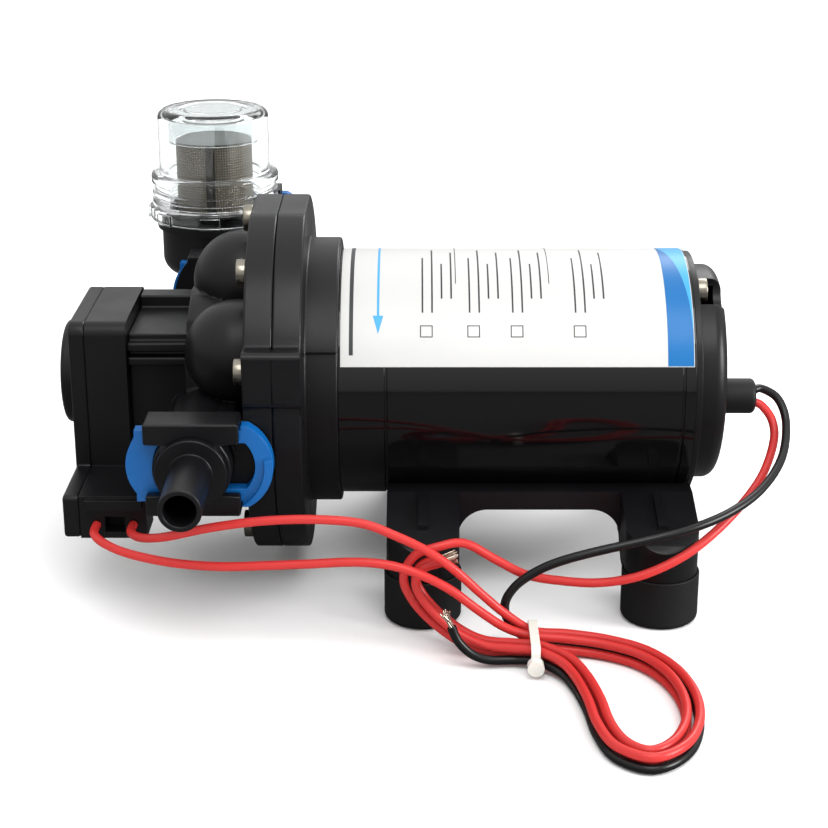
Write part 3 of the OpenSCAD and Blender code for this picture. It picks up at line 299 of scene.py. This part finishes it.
BARE_L = 6
STRAND_R = 0.24
STRAND_RING = 0.55
STRANDS = 7
STRAND_STEPS = 8
LAY = 1.6
SPLAY = (0.2, 1.1)
STRAND_SHARE = (0.75, 0.96)
STRAND_ROOT = 0.4


def bare_end(name, path):
    """The stripped end of a lead: fine strands that twist and splay as they leave the insulation."""
    tip = (path[-1] - path[-2]).normalized()
    side = tip.cross(Vector((0, 0, 1))).normalized()
    up = side.cross(tip)
    chance = random.Random(len(path))
    strands = []
    for k in range(STRANDS):
        ring = STRAND_RING if k else 0
        splay = chance.uniform(*SPLAY)
        length = BARE_L * chance.uniform(*STRAND_SHARE)
        line = []
        for step in range(STRAND_STEPS + 1):
            along = step / STRAND_STEPS
            angle = 2 * math.pi * k / STRANDS + LAY * along
            out = (ring + splay * along**2) * (math.cos(angle) * side + math.sin(angle) * up)
            line.append(path[-1] + tip * (along * length - STRAND_ROOT) + out)
        strands.append(line)
    made = tube(name, strands, STRAND_R, tinned_copper)
    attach(made, "pump")
    return made


LAST = len(HANK) - 1
BLACK_LAST = RAISED_FROM - 2
leads = {
    "switch_wire_low": (LOW_ROUTE + hank_lane(-1, 1, LAST), red_pvc, "red_pvc"),
    "switch_wire_high": (HIGH_ROUTE + hank_lane(1, 1, LAST), red_pvc, "red_pvc"),
    "motor_wire_red": (RED_ROUTE + hank_lane(-1, -1, LAST)[::-1] + RED_END, red_pvc, "red_pvc"),
    "motor_wire_black": (BLACK_ROUTE + hank_lane(1, -1, BLACK_LAST) + BLACK_END, black_pvc, "black_pvc"),
}
for name, (route, pvc, slot) in leads.items():
    path = smooth(route)
    lead = tube(name + "_insulation", [path], LEAD_D / 2, pvc)
    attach(lead, "pump")
    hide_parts(name)
    on_lead = [bare_end(name + "_strands", path)]
    if name == "switch_wire_low":
        on_lead.append(tie)

# Base: a cradle with four splayed legs, one injection moulding in glass-filled nylon.
# The mould leaves a fine satin grain, and its edges are slightly rounded.
satin = {"Specular IOR Level": 0.24}
black_nylon = surface_of(
    "glass_filled_nylon", "#0b0b0d", "#111113", roughness=0.34, grain=0.35, depth=0.03, **satin
)
softened("base_bracket", black_nylon, rounding=0.8)

# Feet: soft rubber cups pushed on to the legs, each with a hole for a screw.
# Moulded rubber is duller than the legs and slightly greyer.
dull = {"Specular IOR Level": 0.25}
moulded_rubber = surface_of(
    "moulded_rubber", "#0d0d0e", "#131314", roughness=0.6, grain=0.6, depth=0.05, **dull
)
for name in ("foot_front_left", "foot_front_right", "foot_rear_left", "foot_rear_right"):
    softened(name, moulded_rubber, rounding=0.6, segments=3)

# Motor can: a drawn steel tube in gloss black enamel, with a rolled groove near each end.
# The enamel is smooth enough to mirror the floor and the leads as soft bands.
glossy = {"Specular IOR Level": 0.4}
black_enamel = surface_of(
    "black_enamel", "#050506", "#080809", roughness=0.09, grain=2.5, depth=0.01, **glossy
)
softened("motor_can", black_enamel, rounding=0.4)

# Label: coated white paper stuck over the can's upper side. It is plain but for a blue band with a
# lighter sweep at its end, a flow arrow, four tick boxes and grey rules. They lie on it as thin ink.
can_low, can_high = (Vector(corner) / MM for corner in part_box("motor_can"))
CAN_R = (can_high.y - can_low.y) / 2
AXIS_H = (can_low.z + can_high.z) / 2
PAPER_T = 0.22
PAPER_R = CAN_R + PAPER_T
INK_RISE = 0.03
LABEL_LOW = math.radians(20)
LABEL_ROUND = math.radians(100) * PAPER_R
LABEL_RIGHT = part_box("label")[1][0] / MM
MARGIN = 0.2
STRIP = 1
coated_paper = surface_of("coated_paper", "#bdbdbb", "#b7b7b5", roughness=0.4, grain=1.5, depth=0.01)
inked = {"Specular IOR Level": 0.25}
blue_ink = surface_of("blue_ink", "#14639f", "#105b95", roughness=0.35, grain=1.5, depth=0.01, **inked)
sky_ink = surface_of("sky_ink", "#3f97c9", "#388fc1", roughness=0.35, grain=1.5, depth=0.01, **inked)
grey_ink = surface_of("grey_ink", "#2a2c2e", "#333537", roughness=0.4, grain=1.5, depth=0.01, **inked)
softened("label", coated_paper, rounding=0.04)


def bar(x0, s0, x1, s1):
    """A flat patch of ink: x runs along the can, s round it from the label's low edge, both in mm."""
    bpy.ops.mesh.primitive_plane_add(size=1, location=((x0 + x1) / 2 * MM, (s0 + s1) / 2 * MM, 0))
    made = bpy.context.object
    made.scale = ((x1 - x0) * MM, (s1 - s0) * MM, 1)
    bpy.ops.object.transform_apply()
    return made


def square_frame(x, s, side, line):
    """The outline of a square whose low left corner is at x, s."""
    low, high = s + line, s + side - line
    flat = [bar(x, s + up, x + side, s + up + line) for up in (0, side - line)]
    return flat + [bar(x + along, low, x + along + line, high) for along in (0, side - line)]


def arrow_head(x, s, half, length):
    """A triangle that points down, squeezed from a patch."""
    made = bar(x - half, s, x + half, s + length)
    for v in made.data.vertices:
        if v.co.y < (s + length / 2) * MM:
            v.co.x = x * MM
    bpy.ops.object.mode_set(mode="EDIT")
    bpy.ops.mesh.select_all(action="SELECT")
    bpy.ops.mesh.remove_doubles(threshold=WELD * MM)
    bpy.ops.object.mode_set(mode="OBJECT")
    return made


def printed(name, flat, material, rise=INK_RISE):
    """Joins flat patches, cuts them into strips and wraps them on to the paper."""
    bpy.ops.object.select_all(action="DESELECT")
    for patch in flat:
        patch.select_set(True)
    made = flat[0]
    made.name = name
    bpy.context.view_layer.objects.active = made
    if len(flat) > 1:
        bpy.ops.object.join()
    bpy.ops.object.mode_set(mode="EDIT")
    for k in range(1, int(LABEL_ROUND / STRIP) + 1):
        bpy.ops.mesh.select_all(action="SELECT")
        bpy.ops.mesh.bisect(plane_co=(0, k * STRIP * MM, 0), plane_no=(0, 1, 0))
    bpy.ops.object.mode_set(mode="OBJECT")
    reach = (PAPER_R + rise) * MM
    for v in made.data.vertices:
        turn = LABEL_LOW + v.co.y / (PAPER_R * MM)
        v.co = Vector((v.co.x, -reach * math.cos(turn), AXIS_H * MM + reach * math.sin(turn)))
    made.data.materials.append(material)
    bpy.ops.object.shade_smooth()
    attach(made, "pump")


BAND_W = 8
band_left = LABEL_RIGHT - BAND_W
band_right = LABEL_RIGHT - MARGIN
band_top = LABEL_ROUND - MARGIN
printed("label_band", [bar(band_left, MARGIN, band_right, band_top)], blue_ink)

SWEEP_LOW = 12
SWEEP_HIGH = 52
SWEEP_W = BAND_W - 1
SWEEP_TIP = 0.2
SWEEP_BEND = 1.6
SWEEP_INSET = 0.5
sweep = []
for k in range(SWEEP_LOW, SWEEP_HIGH):
    share = (k - SWEEP_LOW) / (SWEEP_HIGH - SWEEP_LOW)
    width = SWEEP_TIP + SWEEP_W * share**SWEEP_BEND
    sweep.append(bar(band_right - width, k, band_right, k + STRIP))
sweep.append(bar(band_left + SWEEP_INSET, SWEEP_HIGH, band_right, band_top))
printed("label_sweep", sweep, sky_ink, 2 * INK_RISE)

ARROW_X = -49.5
ARROW_LOW = 10
ARROW_HIGH = 60
HEAD_L = 6
HEAD_HALF = 1.6
SHAFT_HALF = 0.35
shaft = bar(ARROW_X - SHAFT_HALF, ARROW_LOW + HEAD_L, ARROW_X + SHAFT_HALF, ARROW_HIGH)
printed("label_arrow", [shaft, arrow_head(ARROW_X, ARROW_LOW, HEAD_HALF, HEAD_L)], sky_ink)

# Thin lines part the columns, and a bold one stands at the label's left edge.
COLUMNS_X = (-26.2, 2.2)
COLUMN_W = 0.25
COLUMN_LOW = 28
COLUMN_HIGH = 62
EDGE_LINE = (-58.2, 3.5, -57, 63)
BOXES_X = (-35, -20.8, -7.8, 11.1)
BOX_LOW = 9
BOX_SIDE = 3.8
BOX_LINE = 0.3
RULES = ((17, 42), (17, 50), (22, 38), (22, 47))
RULES_LEFT = 1.4
RULE_STEP = 2.9
RULE_W = 0.5
marks = [bar(x, COLUMN_LOW, x + COLUMN_W, COLUMN_HIGH) for x in COLUMNS_X] + [bar(*EDGE_LINE)]
for x in BOXES_X:
    marks += square_frame(x - BOX_SIDE / 2, BOX_LOW, BOX_SIDE, BOX_LINE)
    for k, (low, high) in enumerate(RULES):
        left = x - RULES_LEFT + RULE_STEP * k
        marks.append(bar(left, low, left + RULE_W, high))
printed("label_rules", marks, grey_ink)

# Inside the motor: ferrite magnets stuck in the can, carbon brushes on a phenolic board, and a wound
# armature of stamped sheets on a ground steel shaft. They keep the shapes that the frame gives them.
# Ferrite and carbon are dull and dark, the board is brown, and the metals have a fine grain.
ferrite = surface_of("sintered_ferrite", "#3a3a3d", "#444448", roughness=0.6, grain=0.8, depth=0.05)
carbon = surface_of("pressed_carbon", "#1d1d1e", "#2a2a2b", roughness=0.5, grain=0.6, depth=0.03)
board = surface_of("phenolic_board", "#6a4526", "#5c3b20", roughness=0.55, grain=1.0, depth=0.02)
ground_steel = surface_of(
    "ground_steel", "#b9babd", "#a9aaae", roughness=0.3, grain=0.6, depth=0.01, Metallic=1
)
stamped_sheets = surface_of(
    "stamped_sheets", "#77797e", "#66686d", roughness=0.45, grain=0.5, depth=0.04, Metallic=1
)
copper = surface_of(
    "enamelled_copper", "#b5643a", "#9c5230", roughness=0.35, grain=0.6, depth=0.05, Metallic=1
)


def finish_nodes(material, *names):
    """CAD nodes that keep their own shape take a finish in the place of their plain one."""
    for name in names:
        cad[name].data.materials.clear()
        cad[name].data.materials.append(material)


finish_nodes(ferrite, "magnets")
finish_nodes(carbon, "brushes")
finish_nodes(board, "brush_holder")
finish_nodes(ground_steel, "motor_shaft", "front_bearing", "rear_bearing")
finish_nodes(stamped_sheets, "armature")
finish_nodes(copper, "windings", "commutator")

# Motor tail: a moulded end bell and a cap over it, in the same nylon as the base. Two long through
# bolts hold them, with nickel-plated pan heads that sit in round notches of the cap.
softened("end_bell", black_nylon, rounding=0.3)
softened("rear_cap", black_nylon, rounding=0.5)
# Nickel plate is a bright metal, a little warm, and dulled by handling.
nickel = surface_of(
    "nickel_plate", "#948f85", "#837d72", roughness=0.24, grain=0.8, depth=0.01, Metallic=1
)
HEAD_SIDES = 32
SHANK_SIDES = 20
HEAD_DOMED = 0.75
RECESS_L = 1.15
RECESS_W = 0.24
RECESS_DEEP = 0.9
SPIN_STEP = 0.7


def pan_heads(name, radius, height, shank_r, shank_l, ring, turns, x, facing):
    """Screws on a ring round the motor's axis: one head with a cross recess, modelled once and copied.

    The dome and the recess's depth are shares of the height, its length and width of the radius."""
    bpy.ops.mesh.primitive_cylinder_add(vertices=HEAD_SIDES, radius=radius * MM, depth=height * MM)
    head = bpy.context.object
    head.location.z = height / 2 * MM
    bpy.ops.object.transform_apply()
    for e in head.data.edges:
        e.select = all(head.data.vertices[v].co.z > height / 2 * MM for v in e.vertices)
    bpy.ops.object.mode_set(mode="EDIT")
    bpy.ops.mesh.bevel(offset=height * HEAD_DOMED * MM, segments=5, affect="EDGES", clamp_overlap=True)
    bpy.ops.object.mode_set(mode="OBJECT")
    for turn in (0, math.pi / 2):
        bpy.ops.mesh.primitive_cube_add(size=1, location=(0, 0, height * MM), rotation=(0, 0, turn))
        cutter = bpy.context.object
        cutter.scale = (radius * RECESS_L * MM, radius * RECESS_W * MM, height * RECESS_DEEP * MM)
        bpy.context.view_layer.objects.active = head
        cut = head.modifiers.new("cut", "BOOLEAN")
        cut.object = cutter
        cut.operation = "DIFFERENCE"
        bpy.ops.object.modifier_apply(modifier="cut")
        bpy.data.objects.remove(cutter)
    bpy.ops.mesh.primitive_cylinder_add(
        vertices=SHANK_SIDES, radius=shank_r * MM, depth=shank_l * MM, location=(0, 0, -shank_l / 2 * MM)
    )
    bpy.ops.object.transform_apply()
    head.select_set(True)
    bpy.context.view_layer.objects.active = head
    bpy.ops.object.join()
    copies = []
    laid = Matrix.Rotation(facing * math.pi / 2, 4, "Y")
    for k, turn in enumerate(turns):
        place = Vector((x, -ring * math.cos(turn), AXIS_H + ring * math.sin(turn))) * MM
        copy = bpy.data.objects.new(name + "_finished", head.data.copy())
        spin = Matrix.Rotation(SPIN_STEP * k, 4, "Z")
        copy.data.transform(Matrix.Translation(place) @ laid @ spin)
        bpy.context.collection.objects.link(copy)
        copies.append(copy)
    bpy.data.objects.remove(head)
    bpy.ops.object.select_all(action="DESELECT")
    for copy in copies:
        copy.select_set(True)
    bpy.context.view_layer.objects.active = copies[0]
    bpy.ops.object.join()
    bpy.ops.object.shade_smooth_by_angle(angle=CORNER)
    copies[0].data.materials.append(nickel)
    carried(copies[0], name)


BOLT_TURNS = [math.radians(65), math.radians(245)]
CAP_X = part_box("rear_cap")[0][0] / MM
HEAD_H = 3
pan_heads(
    "motor_bolts", radius=4, height=HEAD_H, shank_r=1.95, shank_l=109,
    ring=33.7, turns=BOLT_TURNS, x=CAP_X, facing=1,
)

# Cable gland: a soft rubber sleeve in the cap, round both motor leads.
# It is pressed in from outside and keeps the leads from chafing.
softened("cable_gland", moulded_rubber, rounding=0.4)

# Drive housing: one half of the big flange and the collar that joins the motor.
# It is moulded in the same nylon as the base and spigots into the can.
LEAST_FACE = 6
softened("drive_housing", black_nylon, rounding=0.7, segments=3, least=LEAST_FACE)

# Wobble drive and valves, hidden in the head: a steel eccentric and bearing, a plate and pistons in
# natural acetal, and a rubber diaphragm and flaps. They keep the shapes that the frame gives them.
natural_acetal = surface_of("natural_acetal", "#e6e3da", "#dad6cb", roughness=0.45, grain=0.8, depth=0.02)
soft_rubber = surface_of("valve_rubber", "#1a1a1b", "#232324", roughness=0.6, grain=0.7, depth=0.03)
finish_nodes(ground_steel, "eccentric", "wobble_bearing")
finish_nodes(natural_acetal, "wobble_plate", "pistons", "valve_plate")
finish_nodes(soft_rubber, "diaphragm", "inlet_valves", "outlet_valve")

# Pump head: five round domes, the two ports and the switch's neck in one moulding.
# Ten nickel-plated pan-head screws round the flange clamp it to the drive housing.
softened("pump_head", black_nylon, rounding=0.7, segments=3, least=LEAST_FACE)
FACE_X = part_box("head_screws")[0][0] / MM + HEAD_H
SCREWS = 10
SCREW_TURNS = [math.radians(360 / SCREWS * (k + 0.5)) for k in range(SCREWS)]
pan_heads(
    "head_screws", radius=4.2, height=HEAD_H, shank_r=2.45, shank_l=13.5,
    ring=50, turns=SCREW_TURNS, x=FACE_X, facing=-1,
)

# Hose tails: plain moulded tubes pushed into the ports.
# Each has a rubber ring behind the groove that its clips lock into.
softened("outlet_tail", black_nylon, rounding=0.5, segments=3)
softened("strainer_tail", black_nylon, rounding=0.5, segments=3)
finish_nodes(soft_rubber, "outlet_seal", "inlet_seal", "tail_seal", "strainer_seal")

# Slide clips: blue acetal forks that lock a hose tail in its port, with a rounded wing for the finger.
# Acetal is waxy, with a soft gloss.
blue_acetal = surface_of(
    "blue_acetal", "#065a9e", "#055191", roughness=0.34, grain=0.5, depth=0.02, **waxy
)
for port in ("outlet", "inlet", "strainer"):
    for side in ("left", "right"):
        softened(f"{port}_clip_{side}", blue_acetal, rounding=0.6, segments=3)

# Strainer: a moulded bowl with a cylinder of woven steel wire under a clear cap that screws on.
# The cap is moulded polycarbonate, smooth and faintly rippled, so it bends what is seen through it.
softened("strainer_body", black_nylon, rounding=0.6)
RIPPLE = 14
clear_plastic, tree, place = bare_tree("clear_polycarbonate")
ripple = node(tree, "ShaderNodeTexNoise", {"Scale": 1 / (RIPPLE * MM), "Detail": 1}, {"Vector": place})
relief = {"Strength": 0.1, "Distance": 0.05 * MM}
bump = node(tree, "ShaderNodeBump", relief, {"Height": ripple.outputs["Fac"]})
clear = {"Roughness": 0.03, "IOR": 1.46, "Transmission Weight": 1.0}
clear["Base Color"] = linear("#eff2f2")
surface = node(tree, "ShaderNodeBsdfPrincipled", clear, {"Normal": bump.outputs["Normal"]})
node(tree, "ShaderNodeOutputMaterial", {}, {"Surface": surface.outputs["BSDF"]})
softened("strainer_cap", clear_plastic, rounding=0.6, segments=3)

# Screen: steel wire cloth rolled into a cylinder with a welded seam, and a grey nylon plate on its end.
# Its threads lie about 0.5 mm apart; they are drawn at 0.9 mm, as finer ones would not show.
THREAD = 0.9
SEAM_PROUD = 0.1
UPWARD = 0.9
woven_steel, tree, place = bare_tree("woven_steel")
screen_low, screen_high = (Vector(corner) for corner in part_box("strainer_screen"))
SCREEN_R = (screen_high.x - screen_low.x) / 2
middle = (screen_low + screen_high) / 2
shift = {"vector_type": "POINT", "Location": -middle}
centred = node(tree, "ShaderNodeMapping", shift, {"Vector": place})
split = node(tree, "ShaderNodeSeparateXYZ", {}, {0: centred.outputs[0]}).outputs
around = node(tree, "ShaderNodeMath", {"operation": "ARCTAN2"}, {0: split["Y"], 1: split["X"]})
waves = []
for source, pitch in ((around.outputs[0], THREAD * MM / SCREEN_R), (split["Z"], THREAD * MM)):
    phase = node(tree, "ShaderNodeMath", {"operation": "MULTIPLY", 1: 2 * math.pi / pitch}, {0: source})
    waves.append(node(tree, "ShaderNodeMath", {"operation": "SINE"}, {0: phase.outputs[0]}).outputs[0])
weave = node(tree, "ShaderNodeMath", {"operation": "MAXIMUM"}, {0: waves[0], 1: waves[1]})
rise = node(tree, "ShaderNodeMapRange", {"From Min": -1}, {"Value": weave.outputs[0]})
thread_colours = {"data_type": "RGBA", 6: linear("#2b2824"), 7: linear("#847c70")}
tint = node(tree, "ShaderNodeMix", thread_colours, {0: rise.outputs["Result"]})
relief = {"Strength": 0.6, "Distance": 0.2 * MM}
bump = node(tree, "ShaderNodeBump", relief, {"Height": rise.outputs["Result"]})
links = {"Base Color": tint.outputs[2], "Normal": bump.outputs["Normal"]}
surface = node(tree, "ShaderNodeBsdfPrincipled", {"Metallic": 0.6, "Roughness": 0.45}, links)
node(tree, "ShaderNodeOutputMaterial", {}, {"Surface": surface.outputs["BSDF"]})
finish_nodes(woven_steel, "strainer_screen")
welded_seam = surface_of(
    "welded_seam", "#3b3833", "#302d29", roughness=0.5, grain=0.6, depth=0.02, Metallic=0.6
)
grey_nylon = surface_of("grey_nylon", "#a0a09e", "#969694", roughness=0.45, grain=0.8, depth=0.02)
screen = cad["strainer_screen"].data
screen.materials.append(welded_seam)
screen.materials.append(grey_nylon)
for face in screen.polygons:
    out = face.center - middle
    if face.normal.z > UPWARD:
        face.material_index = 2
    elif math.hypot(out.x, out.y) > SCREEN_R + SEAM_PROUD * MM:
        face.material_index = 1

# Pressure switch: a moulded case and cover, bolted on the head's neck over a plunger and a snap switch.
# A turned brass screw in the round end sets the pressure, a bright yellow metal.
softened("switch_case", black_nylon, rounding=0.6)
softened("switch_cover", black_nylon, rounding=0.8)
turned_brass = surface_of(
    "turned_brass", "#c0a050", "#b09044", roughness=0.3, grain=0.6, depth=0.01, Metallic=1
)
finish_nodes(natural_acetal, "switch_plunger")
finish_nodes(turned_brass, "adjusting_screw")
finish_nodes(black_nylon, "microswitch")

# Switch spring: a coil of steel wire between the adjusting screw and the plunger.
SPRING_WIRE_R = 0.5
SPRING_TURNS = 5
SPRING_STEPS = 120
seat, top = (Vector(corner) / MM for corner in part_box("switch_spring"))
coil_r = (top.z - seat.z) / 2 - SPRING_WIRE_R
coil = []
for k in range(SPRING_STEPS + 1):
    share = k / SPRING_STEPS
    turn = 2 * math.pi * SPRING_TURNS * share
    x = seat.x + SPRING_WIRE_R + (top.x - seat.x - 2 * SPRING_WIRE_R) * share
    coil.append(Vector((x, coil_r * math.cos(turn), AXIS_H + coil_r * math.sin(turn))))
spring = tube("switch_spring_finished", [coil], SPRING_WIRE_R, ground_steel)
bpy.ops.object.select_all(action="DESELECT")
spring.select_set(True)
bpy.context.view_layer.objects.active = spring
bpy.ops.object.convert(target="MESH")
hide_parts("switch_spring")
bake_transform(spring)

# Studio: a white floor under a white tent, brightest overhead and dim near the floor, so that black
# mouldings stay black in front and only their tops and round edges catch the light. In gloss the floor
# is painted grey: a painted reflection, darker than the white floor, that keeps gloss fronts dark.
FLOOR = 8
bpy.ops.mesh.primitive_plane_add(size=FLOOR, location=(0, 0, 0))
floor = bpy.context.object
floor.name = "floor"
floor_paint, tree, _ = bare_tree("floor_paint")
ray = node(tree, "ShaderNodeLightPath").outputs
rays = {0: ray["Is Glossy Ray"], 1: ray["Is Transmission Ray"]}
# Glossy rays that are no transmission see the floor grey: a painted reflection, not the floor's own colour.
painted_reflection_mask = node(tree, "ShaderNodeMath", {"operation": "SUBTRACT", "use_clamp": True}, rays)
shades = {"data_type": "RGBA", 6: linear("#f7f7f7"), 7: linear("#6a6a6a")}
shade = node(tree, "ShaderNodeMix", shades, {0: painted_reflection_mask.outputs[0]})
matt = {"Roughness": 0.9, "Specular IOR Level": 0.0}
surface = node(tree, "ShaderNodeBsdfPrincipled", matt, {"Base Color": shade.outputs[2]})
node(tree, "ShaderNodeOutputMaterial", {}, {"Surface": surface.outputs["BSDF"]})
floor.data.materials.append(floor_paint)
TENT_LOW = 0.62
TENT_HIGH = 1.42
world = bpy.data.worlds.new("studio")
world.use_nodes = True
tree = world.node_tree
aim = node(tree, "ShaderNodeTexCoord").outputs["Generated"]
height = node(tree, "ShaderNodeSeparateXYZ", {}, {0: aim}).outputs["Z"]
glow = node(tree, "ShaderNodeMapRange", {"To Min": TENT_LOW, "To Max": TENT_HIGH}, {"Value": height})
seen = {0: glow.outputs["Result"], 1: node(tree, "ShaderNodeLightPath").outputs["Is Camera Ray"]}
white = node(tree, "ShaderNodeMath", {"operation": "MAXIMUM"}, seen)
tree.links.new(white.outputs[0], tree.nodes["Background"].inputs["Strength"])
tree.nodes["Background"].inputs["Color"].default_value = linear("#ffffff")
bpy.context.scene.world = world
# Lamps: large soft boxes, with place and size in metres and power in watts.
LAMPS = {
    "key": {"place": (0.1, -0.6, 1.05), "size": 0.7, "power": 6},
    "rim": {"place": (0.4, 0.9, 0.9), "size": 0.6, "power": 6},
    "side": {"place": (1.1, -0.42, 0.42), "size": 0.5, "power": 14},
}
for name, soft_box in LAMPS.items():
    place = Vector(soft_box["place"])
    lamp = bpy.data.lights.new(name, "AREA")
    lamp.size = soft_box["size"]
    lamp.energy = soft_box["power"]
    lit = bpy.data.objects.new(name, lamp)
    lit.location = place
    lit.rotation_euler = (AIM - place).to_track_quat("-Z", "Y").to_euler()
    bpy.context.collection.objects.link(lit)
